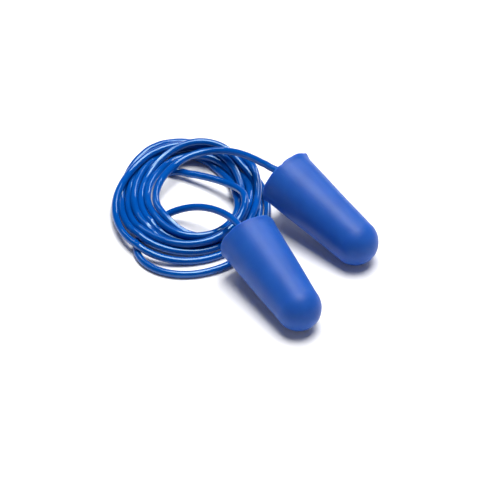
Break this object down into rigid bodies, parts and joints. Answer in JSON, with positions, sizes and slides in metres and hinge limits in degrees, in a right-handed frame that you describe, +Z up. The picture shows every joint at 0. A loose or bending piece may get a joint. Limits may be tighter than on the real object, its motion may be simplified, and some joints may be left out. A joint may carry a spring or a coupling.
{
  "type": "corded foam ear plugs",
  "caption": "Pair of bullet-shaped foam ear plugs joined by a long thin flexible cord that lies in a loose coil behind them.",
  "frame": {"origin": "on the floor under the middle of the two plugs' box", "axes": "+Z up, +X to the right, +Y from the plugs' tips towards the coil of cord"},
  "size_m": [0.053, 0.0605, 0.0151],
  "materials": {
    "foam": "soft matte moulded skin",
    "cord": "smooth glossy extruded",
    "bond": "set clear adhesive",
    "steel": "plain ball"
  },
  "bodies": {
    "cord": {"cord_coil": "cord", "front_cord_tail": "cord", "rear_cord_tail": "cord"},
    "front_plug": {"front_foam_plug": "foam", "front_bond_sleeve": "bond", "front_cord_end": "cord", "front_detection_ball": "steel"},
    "rear_plug": {"rear_foam_plug": "foam", "rear_bond_sleeve": "bond", "rear_cord_end": "cord", "rear_detection_ball": "steel"}
  },
  "joints": [
    {"name": "front_plug_swing", "type": "hinge", "parent": "cord", "child": "front_plug", "pos_m": [-0.0104, 0.0007, 0.00769], "axis": [-0.8746, -0.4848, 0], "range_deg": [0, 60], "deforming": ["front_cord_tail"]},
    {"name": "rear_plug_swing", "type": "hinge", "parent": "cord", "child": "rear_plug", "pos_m": [-0.00283, 0.01767, 0.00909], "axis": [-0.7314, -0.682, 0], "range_deg": [0, 60], "deforming": ["rear_cord_tail"]}
  ]
}
